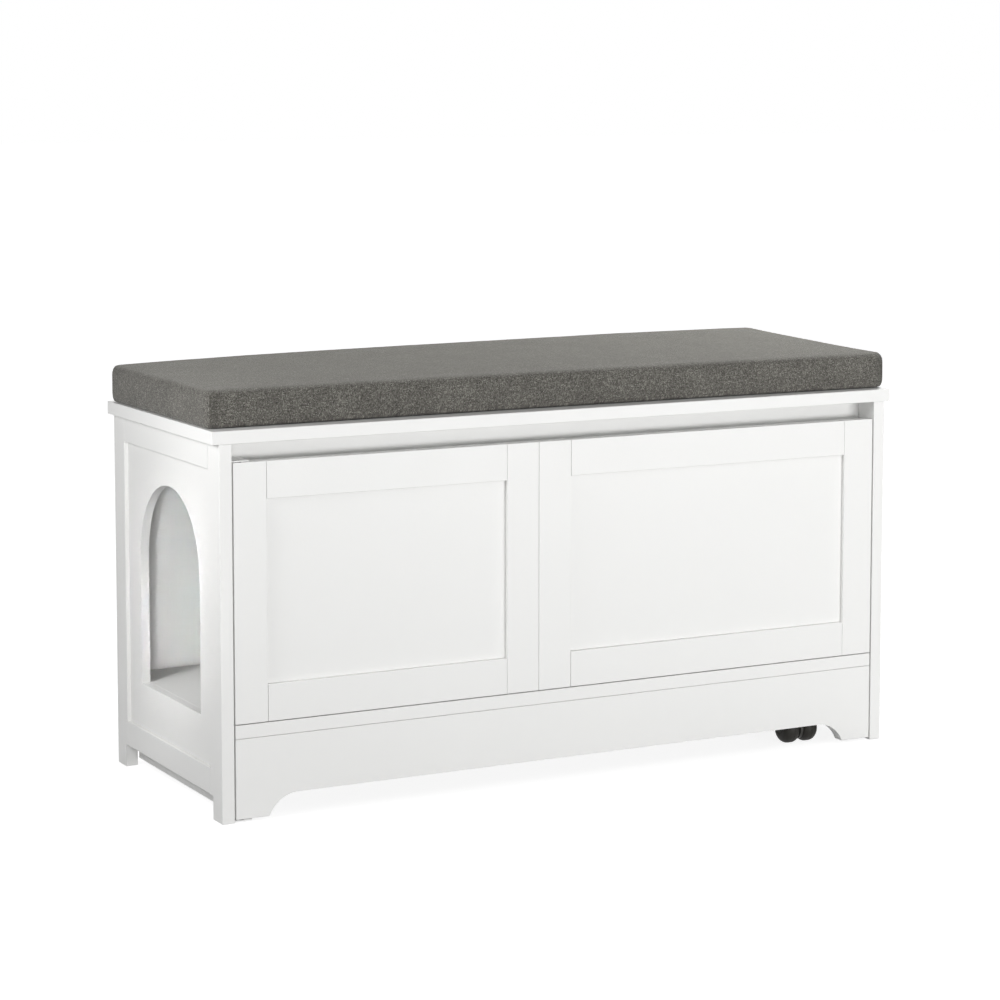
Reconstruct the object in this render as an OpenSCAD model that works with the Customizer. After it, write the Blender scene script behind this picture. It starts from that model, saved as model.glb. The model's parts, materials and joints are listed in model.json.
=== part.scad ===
// Bench chest with a doorway in its left side, a wide hinged front and a seat cushion.
// The origin is on the floor at the middle of the case. +X is to the right, +Y to the back, +Z up.

/* [Case] */
// Width over the two side frames
case_w = 1000; // [900:1:1200]
// Depth from the front plane to the back of the side frames
case_d = 373; // [350:1:450]
// Height of the top of the seat board
case_h = 497; // [480:1:560]
// Chamfer on the edges of the painted boards
edge_ease = 0.5; // [0.3:0.1:1.5]

/* [Seat board] */
// Thickness of the seat board
top_t = 17; // [15:0.5:22]
// Overhang of the seat board past each side
top_over = 9; // [3:0.5:15]

/* [Side frames] */
// Thickness of the stiles and rails of a side frame
side_t = 17; // [16:0.5:20]
// Width of the stiles
stile_w = 38; // [34:0.5:46]
// Width of the feet below the notch in the stiles
foot_w = 30; // [24:0.5:32]
// Height of the feet
foot_h = 31; // [25:0.5:36]
// Height of the upper rails of the side frames
side_top_h = 34.5; // [32:0.5:42]
// Height of the lower rails of the side frames
side_low_h = 33.5; // [32:0.5:42]
// Depth of the side panels behind the outer face of their frames
side_recess = 5; // [2:0.5:6]

/* [Doorway] */
// Width of the arched doorway
arch_w = 210; // [170:1:225]
// Distance from the top of the arch up to the upper rail
arch_drop = 41.5; // [30:0.5:90]

/* [Inner boards] */
// Height of the underside of the bottom board
floor_z = 106.5; // [100:0.5:112]
// Thickness of the bottom board
floor_t = 18; // [15:0.5:20]
// Gap between the back of the front and the edge of the bottom board
floor_gap = 4; // [3.5:0.5:8]
// Thickness of the boards that carry the bottom board at the sides
support_t = 15; // [12:0.5:18]
// Height of these boards above the ground
support_z = 11; // [6:0.5:20]
// Distance of their front ends from the front plane
support_in = 45; // [42:0.5:55]
// Gap between their rear ends and the rear feet
support_gap = 4; // [2:0.5:10]
// Thickness of the rails across the case
rail_t = 17; // [15:0.5:20]
// Height of the upper rails across the case
rail_h = 50; // [46:0.5:60]
// Thickness of the back panel
back_t = 6; // [3:0.5:8]

/* [Front] */
// Thickness of the front
door_t = 17; // [17:0.5:19]
// Gap at each end of the front
door_gap = 2; // [2:0.1:4]
// Height of the finger gap above the front
finger_gap = 23.5; // [21:0.5:30]
// Height of the front above the ground
door_clear = 4; // [4:0.5:8]
// Width of the left panelled frame
left_frame_w = 432; // [400:1:480]
// Seam between the two panelled frames
centre_seam = 0.4; // [0.2:0.1:1]
// Width of the left outer stile
left_stile_w = 44.5; // [43:0.5:52]
// Width of the stile at the right of the left panel
left_mid_w = 47; // [42:0.5:55]
// Width of the stile at the left of the right panel
right_mid_w = 48; // [42:0.5:55]
// Width of the right outer stile
right_stile_w = 47; // [43:0.5:55]
// Height of the upper rails of the front
door_top_h = 48; // [44:0.5:56]
// Height of the lower rails of the front
door_low_h = 47.5; // [44:0.5:56]
// Depth of the panels behind the face of the front
door_recess = 5; // [2:0.5:6]
// Thickness of the panels
door_panel_t = 9; // [6:0.5:10]
// Height of the strip between the frames and the apron
strip_h = 17.5; // [14:0.5:22]
// Seam above the strip
upper_seam = 1.1; // [0.6:0.1:2]
// Seam below the strip
lower_seam = 0.4; // [0.3:0.1:2]

/* [Apron] */
// Height of the apron
apron_h = 102.5; // [100:0.5:106]
// Height of the cut-out above the ground
cut_h = 31; // [28:0.5:36]
// Width of the feet of the apron
apron_foot_w = 45.4; // [38:0.2:60]
// Radius of the corners of the cut-out
cut_r = 43; // [40:0.5:60]

/* [Hinge] */
// Distance of the pivot axis from the left end of the front
pivot_x = 8; // [7.5:0.1:8.5]
// Distance of the pivot axis from the face of the front
pivot_y = 5; // [4.8:0.1:5.2]
// Diameter of the pivot pins
pin_d = 4; // [3:0.1:4.4]
// Outer diameter of the bushes
bush_d = 6.6; // [6:0.1:7.5]
// Length of the bushes
bush_l = 12; // [8:0.5:16]
// Thickness of the flanges of the bushes
flange_t = 0.6; // [0.4:0.1:0.8]
// Diameter of the flanges of the bushes
flange_d = 9; // [8.5:0.1:9.4]
// Thickness of the sheet of the pivot brackets
bracket_t = 1.5; // [1:0.1:1.8]
// Reach of the pivot brackets from the side frame
bracket_l = 24; // [20:0.5:32]
// Height of the leg of the upper bracket
top_leg_h = 20.5; // [19:0.5:22]
// Height of the leg of the lower bracket
low_leg_h = 62; // [56:0.5:70]

/* [Castor] */
// Distance of the castor from the right end of the front
castor_in = 95; // [93:1:160]
// Distance of the swivel axis from the front plane
castor_y = 54; // [54:0.5:60]
// Height of the castor from the ground to its mounting face
castor_h = 54.5; // [53:0.5:58]
// Radius of the wheels
wheel_r = 20; // [19:0.2:20.6]
// Width over the two wheels
castor_w = 55; // [51:0.5:55]
// Offset of the axle from the swivel axis
trail = 12; // [10:0.5:12]
// Thickness of the web between the wheels
web_t = 4.5; // [4:0.5:5.5]
// Width of the hood over the wheels
hood_w = 28; // [22:0.5:28]
// Thickness of the hood
hood_t = 2.7; // [2:0.1:3]
// Diameter of the axle
axle_d = 5; // [4:0.1:6]
// Diameter of the stem
stem_d = 8; // [6:0.1:9]
// Side of the square mounting plate
plate_w = 60; // [56:0.5:64]
// Thickness of the mounting plate
plate_t = 2.5; // [2:0.1:3]
// Width of the block that carries the castor
block_w = 90; // [80:1:100]
// Depth of this block
block_d = 80; // [76:1:90]
// Thickness of this block
block_t = 17; // [15:0.5:20]
// Height of the gusset above the block
gusset_h = 28; // [20:0.5:29]
// Thickness of the gusset
gusset_t = 15; // [12:0.5:18]

/* [Catch] */
// Height of the middle of the catch
catch_z = 322; // [250:1:360]
// Height of the catch body and of the strike plate
catch_h = 35; // [30:0.5:45]
// Depth of the catch body from the side frame
catch_w = 13; // [12:0.5:16]
// Thickness of the strike plate
strike_t = 1.2; // [0.8:0.1:1.5]
// Width of the strike plate
strike_w = 18; // [15:0.5:22]

/* [Cushion] */
// Distance of the cushion's left end from the left end of the seat board
cushion_left = 2; // [0:0.5:30]
// Distance by which the cushion's right end passes the right end of the seat board
cushion_right = 3.5; // [-30:0.5:8]
// Distance of the cushion from the front edge of the seat board
cushion_front = 18; // [4:0.5:30]
// Distance of the cushion from the rear edge of the seat board
cushion_rear = 7; // [4:0.5:30]
// Height of the side walls of the cushion
cushion_h = 49.5; // [35:0.5:60]
// Rise of the crown above the side walls
crown = 5; // [3:0.5:12]
// Radius of the upright corners
cushion_r = 9; // [8.5:0.5:30]
// Radius of the upper edges
roll_r = 7; // [4:0.5:7.5]
// Distance by which the long sides draw in between the corners
draw_in = 2; // [1:0.5:6]

/* [Fasteners] */
// Diameter of the dowels
dowel_d = 8; // [6:0.5:8.5]
// Length of the dowels
dowel_l = 24; // [18:0.5:25]
// Distance between two dowels in the same rail
dowel_pitch = 20; // [19:0.5:21]
// Diameter of the cam discs
cam_d = 15; // [12:0.5:16]
// Depth of the cam discs
cam_depth = 12; // [11.5:0.5:13]
// Distance of the cam discs below the seat board
cam_drop = 22; // [18:0.5:24]
// Diameter of the cam bolts
cam_bolt_d = 5; // [4:0.1:6]
// Depth of the cam bolts in the seat board
cam_bite = 10; // [8:0.5:12]
// Diameter of the wood screws
screw_d = 3.5; // [3:0.1:4]
// Length of the long screws
long_screw = 24; // [21:0.5:26]
// Length of the short screws
short_screw = 12; // [10:0.5:13]
// Thickness of the joining plates on the back of the front
join_t = 2; // [1.5:0.1:2.2]
// Width of the joining plates
join_w = 40; // [36:0.5:42]

/* [Hidden] */
$fn = 48;
// Clearance around dowels, screws, pins and axles
fit = 0.05;
// Clearance between a soft or sliding face and its neighbour
rest_gap = 0.3;
// Distance by which a cutter passes a surface
past = 1;
white = [0.93, 0.93, 0.92];
steel = [0.66, 0.67, 0.69];
black = [0.13, 0.13, 0.14];
timber = [0.80, 0.68, 0.50];
cloth = [0.44, 0.43, 0.41];

// Outer limits of the case
left = -case_w / 2;
right = case_w / 2;
front = -case_d / 2;
back = case_d / 2;
seat_z = case_h - top_t;
// Inner face of the left side frame, and the middle of its thickness
side_in = left + side_t;
side_mid = left + side_t / 2;
// Upper and lower edges of the openings of the side frames
side_high = seat_z - side_top_h;
side_low = foot_h + side_low_h;
floor_top = floor_z + floor_t;
// Rails across the case
front_rail_y = front + stile_w;
rear_rail_y = back - back_t - rail_t;

// Cross in the head of a screw: length, width and depth
cross_l = 3.8;
cross_w = 0.7;
cross_h = 1.4;
// Depth of a long rail's dowels in the side frame
dowel_bite = 9;

// Limits of the front and of its frames
door_left = side_in + door_gap;
door_right = -door_left;
door_back = front + door_t;
door_mid = front + door_t / 2;
door_top = seat_z - finger_gap;
apron_top = door_clear + apron_h;
strip_z = apron_top + lower_seam;
frame_z = strip_z + strip_h + upper_seam;
seam_x = door_left + left_frame_w;
seam_l = seam_x - centre_seam / 2;
seam_r = seam_x + centre_seam / 2;
low_rail_top = frame_z + door_low_h;
top_rail_low = door_top - door_top_h;
panel_y = front + door_recess;
// Both openings of the front, each as its left and right edges
opening = [[door_left + left_stile_w, seam_l - left_mid_w], [seam_r + right_mid_w, door_right - right_stile_w]];
// Centre of a corner of the cut-out, which meets the foot at the lower edge
cut_z = cut_h - cut_r;
cut_x = door_left + apron_foot_w + sqrt(pow(cut_r, 2) - pow(door_clear - cut_z, 2));

// Pivot axis, and the play between bush and bracket
axis_x = door_left + pivot_x;
axis_y = front + pivot_y;
pivot_play = 0.1;
// The brackets' legs: clear of the sweep of the front's corner, and short of the stile's rear edge
sweep_clear = 3.5;
stile_margin = 1;
bracket_y = front + stile_margin;
leg_y = door_back + sweep_clear;
leg_end = front + stile_w - stile_margin;
// Distance of the bracket screws from the edges of the legs
leg_edge = 4;
top_bracket_z = door_top + flange_t + pivot_play;
low_bracket_z = door_clear - flange_t - pivot_play - bracket_t;

// Castor
castor_x = door_right - castor_in;
swivel_y = front + castor_y;
plate_z = castor_h - plate_t;
plate_edge_in = 8;
// Room round and above the head of the stem in the block
head_side = 1.5;
head_top = 2;
// Ends of the gusset: setback of its tip, height of its toe and width of its top
gusset_back = 6;
gusset_toe = 4;
gusset_top = 6;
// Wall of the boss round the stem, and the web's edge inside the wheels' rim
boss_wall = 4.5;
web_in = 4;
// Clearance of the wheels in the hood and beside the web, and the lower edge of the hood above the axle
hood_gap = 0.8;
hood_r = wheel_r + hood_gap + hood_t;
hood_lift = 8;
wheel_gap = 0.5;
// Roundings of a wheel's tread at its inner and its outer face
tread_inner = 9;
tread_outer = 11;
// Height of the stem's lower end above the axle, then its head
stem_rise = 20;
stem_z = wheel_r + stem_rise;
stem_head_d = stem_d + 5;
stem_head_h = 2.5;
// Outer wall of a wheel beyond the axle's end
cap_t = 2.5;
axle_l = castor_w - 2 * cap_t;

// Catch on the inner face of the right front stile
catch_x = right - side_t;
catch_y = door_back + strike_t + rest_gap;
catch_low = catch_z - catch_h / 2;
strike_in = 3;
strike_x = door_right - strike_in - strike_w;
strike_edge = 6;
// Base of the catch: thickness and length past the body at each end
ear_t = 2;
ear_l = 14;
// Travel of the magnet in the body, its depth, and the body's walls beside it and at its ends
magnet_play = 0.5;
magnet_l = 11;
magnet_wall = 3;
magnet_end = 5;

// Rows and columns of the screws in the joining plates
screw_col = join_w / 4;
row_drop = 21;
apron_row = apron_top - row_drop;
strip_row = strip_z + strip_h / 2;
frame_row = frame_z + door_low_h / 2;
below_rail = 8;
upper_rows = [top_rail_low - below_rail, top_rail_low + door_top_h / 2];
// Joining plates, each as the middle of its width, its lower edge and its upper edge
plate_edge = 10;
left_join_x = door_left + left_stile_w / 2;
right_join_x = door_right - right_stile_w / 2;
join_places = [
  [left_join_x, apron_row - plate_edge, frame_row + plate_edge],
  [seam_x, apron_row - plate_edge, frame_row + plate_edge],
  [right_join_x, apron_row - plate_edge, frame_row + plate_edge],
  [seam_x, upper_rows[0] - plate_edge, upper_rows[1] + plate_edge]
];

// Places along the depth for fittings in the side frames
row_inset = 38;
side_row = case_d / 2 - stile_w - row_inset;
side_rows = [-side_row, 0, side_row];
// Distance of the cam fittings in the long rails from the ends of the case
cam_inset = 200;
cam_x = case_w / 2 - cam_inset;
// Turns of a fitting on the right side frame, the front rail and the rear rail
half_turn = 180;
quarter_turn = 90;
// Bolt places of the cam fittings: x, y, turn of the disc's face, half the rail's thickness
cam_places = [
  for (y = [-side_row, side_row]) [side_mid, y, 0, side_t / 2],
  for (y = [-side_row, side_row]) [-side_mid, y, half_turn, side_t / 2],
  for (x = [-cam_x, cam_x]) [x, front_rail_y + rail_t / 2, quarter_turn, rail_t / 2],
  for (x = [-cam_x, cam_x]) [x, rear_rail_y + rail_t / 2, -quarter_turn, rail_t / 2]
];
// Screws of the back panel
back_cols = 6;
back_inset = 60;
back_pitch = (case_w - 2 * back_inset) / (back_cols - 1);

// Size of the cushion, and its middle beside and behind the middle of the case
cushion_w = case_w + 2 * top_over - cushion_left + cushion_right;
cushion_x = (cushion_left + cushion_right) / 2;
cushion_d = case_d - cushion_front - cushion_rear;
cushion_back = (cushion_front - cushion_rear) / 2;
// Cushion: steps along a long side, a short side and a corner of its outline
long_steps = 16;
short_steps = 6;
corner_steps = 4;
cushion_z = case_h + rest_gap;

// Rectangle with chamfered corners
module chamfered_rect(w, h) {
  e = edge_ease;
  polygon([[e, 0], [w - e, 0], [w, e], [w, h - e], [w - e, h], [e, h], [0, h - e], [0, e]]);
}

// Painted board between two corners, given as its limits along each axis
module board(x, y, z) {
  w = x[1] - x[0];
  d = y[1] - y[0];
  h = z[1] - z[0];
  translate([x[0], y[0], z[0]])
    intersection() {
      linear_extrude(h)
        chamfered_rect(w, d);
      translate([0, d, 0])
        rotate([90, 0, 0])
          linear_extrude(d)
            chamfered_rect(w, h);
      rotate([90, 0, 90])
        linear_extrude(w)
          chamfered_rect(d, h);
    }
}

// Plain block between two corners, given as its limits along each axis
module block(x, y, z) {
  translate([x[0], y[0], z[0]])
    cube([x[1] - x[0], y[1] - y[0], z[1] - z[0]]);
}

// Dowel with its middle at a point, or its hole when a clearance is given
module dowel(at, turn, gap = 0) {
  translate(at)
    rotate(turn)
      cylinder(d = dowel_d + 2 * gap, h = dowel_l + 2 * gap, center = true);
}

// Section of a screw, or of its hole when a clearance is given
module screw_section(length, gap) {
  r = screw_d / 2 + gap;
  head = screw_d + gap;
  up = gap > 0 ? past : 0;
  rim = gap > 0 ? [[head, up]] : [];
  polygon(concat([[0, up]], rim, [[head, 0], [r, -screw_d / 2], [r, -length - gap], [0, -length - gap]]));
}

// Countersunk cross-head screw with its head's face at a point, or its hole when a clearance is given
module screw(at, turn, length, gap = 0) {
  translate(at)
    rotate(turn)
      difference() {
        rotate_extrude()
          screw_section(length, gap);
        if (gap == 0)
          for (side = [0, 90])
            rotate([0, 0, side])
              cube([cross_l, cross_w, 2 * cross_h], center = true);
      }
}

// Dowels of one side of the case: -1 for the left, 1 for the right
module side_dowel_set(side, gap = 0) {
  for (y = [-1, 1], mid = [side_high + side_top_h / 2, foot_h + side_low_h / 2], step = [-1, 1])
    dowel([-side * side_mid, y * (case_d / 2 - stile_w), mid + step * dowel_pitch / 2], [90, 0, 0], gap);
  x = -side * (side_in + dowel_l / 2 - dowel_bite);
  dowel([x, front_rail_y + rail_t / 2, side_high + side_top_h / 2], [0, 90, 0], gap);
  dowel([x, rear_rail_y + rail_t / 2, side_high + side_top_h / 2], [0, 90, 0], gap);
  for (step = [-1, 1])
    dowel([x, rear_rail_y + rail_t / 2, (foot_h + floor_z) / 2 + step * dowel_pitch], [0, 90, 0], gap);
  for (y = side_rows)
    dowel([-side * (side_in + support_t / 2), y, floor_z], [0, 0, 0], gap);
}

module cam_bolt_set(gap = 0) {
  for (p = cam_places)
    translate([p[0], p[1], seat_z - cam_drop - gap])
      cylinder(d = cam_bolt_d + 2 * gap, h = cam_drop + cam_bite + 2 * gap);
}

module cam_disc_set(gap = 0) {
  open = gap > 0 ? past : 0;
  for (p = cam_places)
    translate([p[0], p[1], seat_z - cam_drop])
      rotate([0, 0, p[2]])
        translate([p[3] - cam_depth - gap, 0, 0])
          rotate([0, 90, 0])
            cylinder(d = cam_d + 2 * gap, h = cam_depth + gap + open);
}

module support_screw_set(side, gap = 0) {
  for (y = side_rows)
    screw([-side * (side_in + support_t), y, foot_h + side_low_h / 2], [0, -side * 90, 0], long_screw, gap);
}

module back_screw_set(gap = 0) {
  for (n = [0:back_cols - 1], z = [seat_z - rail_h / 2, (foot_h + floor_z) / 2])
    screw([left + back_inset + n * back_pitch, back, z], [-90, 0, 0], short_screw + back_t / 2, gap);
}

module bracket_screw_set(gap = 0) {
  x = side_in + bracket_t;
  for (y = [leg_y + leg_edge, leg_end - leg_edge])
    screw([x, y, side_high + side_top_h / 2], [0, 90, 0], short_screw, gap);
  for (z = [foot_h / 2, foot_h + side_low_h / 2])
    screw([x, leg_y + leg_edge, z], [0, 90, 0], short_screw, gap);
}

module catch_screw_set(gap = 0) {
  for (side = [-1, 1])
    screw([catch_x - ear_t, (catch_y + leg_end) / 2, catch_z + side * (catch_h + ear_l) / 2], [0, -90, 0], short_screw, gap);
}

// Holes in the wooden pieces of one side of the case
module side_drilled(side) {
  difference() {
    children();
    side_dowel_set(side, fit);
    cam_bolt_set(fit);
    cam_disc_set(fit);
    support_screw_set(side, fit);
    if (side < 0)
      bracket_screw_set(fit);
    if (side > 0)
      catch_screw_set(fit);
  }
}

// Holes in the wooden pieces that run across the case
module cross_drilled() {
  difference() {
    children();
    side_dowel_set(-1, fit);
    side_dowel_set(1, fit);
    cam_bolt_set(fit);
    cam_disc_set(fit);
    back_screw_set(fit);
  }
}

// Left front stile, notched above its foot
module stile_shape() {
  difference() {
    board([left, side_in], [front, front + stile_w], [0, seat_z]);
    block([left - past, side_in + past], [front + foot_w, front + stile_w + past], [-past, foot_h]);
  }
}

module side_rail_shape(z) {
  board([left, side_in], [front + stile_w, back - stile_w], z);
}

module side_panel_shape() {
  board([left + side_recess, side_in], [front + stile_w, back - stile_w], [side_low, side_high]);
}

// Doorway: a straight part with a half circle on top
module doorway() {
  spring = side_high - arch_drop - arch_w / 2;
  block([left - past, side_in + past], [-arch_w / 2, arch_w / 2], [floor_top, spring]);
  translate([left - past, 0, spring])
    rotate([0, 90, 0])
      cylinder(d = arch_w, h = side_t + 2 * past, $fn = 120);
}

module top_board() {
  color(white)
    difference() {
      board([left - top_over, right + top_over], [front, back], [seat_z, case_h]);
      cam_bolt_set(fit);
    }
}

module left_front_stile() {
  color(white)
    side_drilled(-1)
      stile_shape();
}

module left_rear_stile() {
  color(white)
    side_drilled(-1)
      mirror([0, 1, 0])
        stile_shape();
}

module left_top_rail() {
  color(white)
    side_drilled(-1)
      side_rail_shape([side_high, seat_z]);
}

module left_bottom_rail() {
  color(white)
    side_drilled(-1)
      side_rail_shape([foot_h, side_low]);
}

module left_panel() {
  color(white)
    difference() {
      side_panel_shape();
      doorway();
    }
}

module right_front_stile() {
  color(white)
    side_drilled(1)
      mirror([1, 0, 0])
        stile_shape();
}

module right_rear_stile() {
  color(white)
    side_drilled(1)
      mirror([1, 0, 0])
        mirror([0, 1, 0])
          stile_shape();
}

module right_top_rail() {
  color(white)
    side_drilled(1)
      mirror([1, 0, 0])
        side_rail_shape([side_high, seat_z]);
}

module right_bottom_rail() {
  color(white)
    side_drilled(1)
      mirror([1, 0, 0])
        side_rail_shape([foot_h, side_low]);
}

module right_panel() {
  color(white)
    mirror([1, 0, 0])
      side_panel_shape();
}

module back_panel() {
  color(white)
    difference() {
      block([side_in, -side_in], [back - back_t, back], [foot_h, seat_z]);
      back_screw_set(fit);
    }
}

module front_top_rail() {
  color(white)
    cross_drilled()
      board([side_in, -side_in], [front_rail_y, front_rail_y + rail_t], [seat_z - rail_h, seat_z]);
}

module rear_top_rail() {
  color(white)
    cross_drilled()
      board([side_in, -side_in], [rear_rail_y, rear_rail_y + rail_t], [seat_z - rail_h, seat_z]);
}

module rear_bottom_rail() {
  color(white)
    cross_drilled()
      board([side_in, -side_in], [rear_rail_y, rear_rail_y + rail_t], [foot_h, floor_z]);
}

module bottom_board() {
  color(white)
    cross_drilled()
      board([side_in, -side_in], [door_back + floor_gap, back - back_t], [floor_z, floor_top]);
}

module support_shape() {
  board([side_in, side_in + support_t], [front + support_in, back - foot_w - support_gap], [support_z, floor_z]);
}

module left_support_board() {
  color(white)
    side_drilled(-1)
      support_shape();
}

module right_support_board() {
  color(white)
    side_drilled(1)
      mirror([1, 0, 0])
        support_shape();
}

module case_dowels() {
  color(timber)
    for (side = [-1, 1])
      side_dowel_set(side);
}

module cam_bolts() {
  color(steel)
    cam_bolt_set();
}

module cam_discs() {
  color(steel)
    difference() {
      cam_disc_set();
      cam_bolt_set(fit);
    }
}

module back_panel_screws() {
  color(steel)
    back_screw_set();
}

module support_screws() {
  color(steel)
    for (side = [-1, 1])
      support_screw_set(side);
}

// Pivot pins: one up into the apron's foot, one down into the top of the left outer stile
module pin_set(gap = 0) {
  for (z = [low_bracket_z - gap, top_bracket_z + bracket_t + gap - pin_length()])
    translate([axis_x, axis_y, z])
      cylinder(d = pin_d + 2 * gap, h = pin_length());
}

function pin_length() = bush_l + flange_t + pivot_play + bracket_t;

// Sheet with a hole for the pin, and a leg screwed to the side frame
module bracket_shape(z, leg) {
  difference() {
    union() {
      block([side_in, side_in + bracket_l], [bracket_y, leg_end], [z, z + bracket_t]);
      block([side_in, side_in + bracket_t], [leg_y, leg_end], [z, z + leg]);
    }
    bracket_screw_set(fit);
    translate([axis_x, axis_y, z - past])
      cylinder(d = pin_d + 2 * fit, h = bracket_t + 2 * past);
  }
}

module top_pivot_bracket() {
  color(black)
    bracket_shape(top_bracket_z, top_leg_h);
}

module bottom_pivot_bracket() {
  color(black)
    bracket_shape(low_bracket_z, low_leg_h);
}

module pivot_pins() {
  color(steel)
    pin_set();
}

module bracket_screws() {
  color(black)
    bracket_screw_set();
}

// Catch: a body and a thin base screwed to the right front stile, with a magnet facing the strike
module magnet_space(gap = 0) {
  block([catch_x - catch_w + magnet_wall - gap, catch_x - magnet_wall + gap],
        [catch_y, catch_y + magnet_l + gap],
        [catch_low + magnet_end - gap, catch_low + catch_h - magnet_end + gap]);
}

module catch_body() {
  color(white)
    difference() {
      union() {
        block([catch_x - catch_w, catch_x], [catch_y + magnet_play, leg_end], [catch_low, catch_low + catch_h]);
        block([catch_x - ear_t, catch_x],
              [catch_y + magnet_play, leg_end],
              [catch_low - ear_l, catch_low + catch_h + ear_l]);
      }
      translate([0, -past, 0])
        magnet_space(fit);
      magnet_space(fit);
      catch_screw_set(fit);
    }
}

module catch_magnet() {
  color(steel)
    magnet_space();
}

module catch_screws() {
  color(steel)
    catch_screw_set();
}

// Dowels of the panelled frames, and those that carry the castor block
module door_dowel_set(gap = 0) {
  for (gate = opening, x = gate, mid = [frame_z + door_low_h / 2, top_rail_low + door_top_h / 2], step = [-1, 1])
    dowel([x, door_mid, mid + step * dowel_pitch / 2], [0, 90, 0], gap);
  for (side = [-1, 1])
    dowel([castor_x + side * block_w / 3, door_back, castor_h + block_t / 2], [90, 0, 0], gap);
}

// Screws of the joining plates and of the strike plate
module join_screw_set(gap = 0) {
  for (x = [left_join_x, seam_x, right_join_x], side = [-1, 1], z = [apron_row, strip_row, frame_row])
    screw([x + side * screw_col, door_back + join_t, z], [-90, 0, 0], short_screw, gap);
  for (side = [-1, 1], z = upper_rows)
    screw([seam_x + side * screw_col, door_back + join_t, z], [-90, 0, 0], short_screw, gap);
  for (z = [catch_low + strike_edge, catch_low + catch_h - strike_edge])
    screw([strike_x + strike_w / 2, door_back + strike_t, z], [-90, 0, 0], short_screw, gap);
}

module bush_holes() {
  for (z = [door_clear - past, door_top - bush_l - fit])
    translate([axis_x, axis_y, z])
      cylinder(d = bush_d + 2 * fit, h = bush_l + fit + past);
}

// Holes in the wooden pieces of the front
module door_drilled() {
  difference() {
    children();
    door_dowel_set(fit);
    join_screw_set(fit);
    bush_holes();
  }
}

module door_board(x, z) {
  board(x, [front, door_back], z);
}

module door_left_stile() {
  color(white)
    door_drilled()
      door_board([door_left, opening[0][0]], [frame_z, door_top]);
}

module door_left_mid_stile() {
  color(white)
    door_drilled()
      door_board([opening[0][1], seam_l], [frame_z, door_top]);
}

module door_right_mid_stile() {
  color(white)
    door_drilled()
      door_board([seam_r, opening[1][0]], [frame_z, door_top]);
}

module door_right_stile() {
  color(white)
    door_drilled()
      door_board([opening[1][1], door_right], [frame_z, door_top]);
}

module door_left_top_rail() {
  color(white)
    door_drilled()
      door_board(opening[0], [top_rail_low, door_top]);
}

module door_left_bottom_rail() {
  color(white)
    door_drilled()
      door_board(opening[0], [frame_z, low_rail_top]);
}

module door_right_top_rail() {
  color(white)
    door_drilled()
      door_board(opening[1], [top_rail_low, door_top]);
}

module door_right_bottom_rail() {
  color(white)
    door_drilled()
      door_board(opening[1], [frame_z, low_rail_top]);
}

module door_panel_shape(x) {
  board(x, [panel_y, panel_y + door_panel_t], [low_rail_top, top_rail_low]);
}

module door_left_panel() {
  color(white)
    door_panel_shape(opening[0]);
}

module door_right_panel() {
  color(white)
    door_panel_shape(opening[1]);
}

module door_strip() {
  color(white)
    door_drilled()
      door_board([door_left, door_right], [strip_z, strip_z + strip_h]);
}

// Outline of the cut-out under the apron
module cut_shape() {
  translate([cut_x, -cut_r])
    square([-2 * cut_x, cut_r + cut_h]);
  for (x = [cut_x, -cut_x])
    translate([x, cut_z])
      circle(cut_r, $fn = 120);
}

module apron() {
  color(white)
    door_drilled()
      difference() {
        door_board([door_left, door_right], [door_clear, apron_top]);
        translate([0, door_back + past, 0])
          rotate([90, 0, 0])
            linear_extrude(door_t + 2 * past)
              cut_shape();
      }
}

module door_dowels() {
  color(timber)
    door_dowel_set();
}

// Flanged bush standing on its flange
module bush() {
  difference() {
    union() {
      cylinder(d = flange_d, h = flange_t);
      cylinder(d = bush_d, h = flange_t + bush_l);
    }
    translate([0, 0, -past])
      cylinder(d = pin_d + 2 * fit, h = flange_t + bush_l + 2 * past);
  }
}

module pivot_bushes() {
  color(black) {
    translate([axis_x, axis_y, door_clear - flange_t])
      bush();
    translate([axis_x, axis_y, door_top + flange_t])
      mirror([0, 0, 1])
        bush();
  }
}

module joining_plates() {
  color(steel)
    difference() {
      for (p = join_places)
        block([p[0] - join_w / 2, p[0] + join_w / 2], [door_back, door_back + join_t], [p[1], p[2]]);
      join_screw_set(fit);
    }
}

module joining_screws() {
  color(steel)
    join_screw_set();
}

module strike_plate() {
  color(steel)
    difference() {
      block([strike_x, strike_x + strike_w], [door_back, door_back + strike_t], [catch_low, catch_low + catch_h]);
      join_screw_set(fit);
    }
}

// Screws that hold the castor's plate under its block
module castor_screw_set(gap = 0) {
  inset = plate_w / 2 - plate_edge_in;
  for (x = [-1, 1], y = [-1, 1])
    screw([castor_x + x * inset, swivel_y + y * inset, plate_z], [180, 0, 0], short_screw, gap);
}

module castor_block() {
  color(white)
    difference() {
      block([castor_x - block_w / 2, castor_x + block_w / 2],
            [door_back, door_back + block_d],
            [castor_h, castor_h + block_t]);
      door_dowel_set(fit);
      castor_screw_set(fit);
      translate([castor_x, swivel_y, castor_h - past])
        cylinder(d = stem_head_d + 2 * head_side, h = stem_head_h + head_top + past);
    }
}

// Section of the gusset, with a blunt toe
module gusset_section() {
  toe = block_d - gusset_back;
  polygon([[0, 0], [toe, 0], [toe, gusset_toe], [gusset_top, gusset_h], [0, gusset_h]]);
}

// Triangular board on top of the block, against the back of the apron
module castor_gusset() {
  color(white)
    translate([castor_x - gusset_t / 2, door_back, castor_h + block_t])
      rotate([90, 0, 90])
        linear_extrude(gusset_t)
          gusset_section();
}

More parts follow.
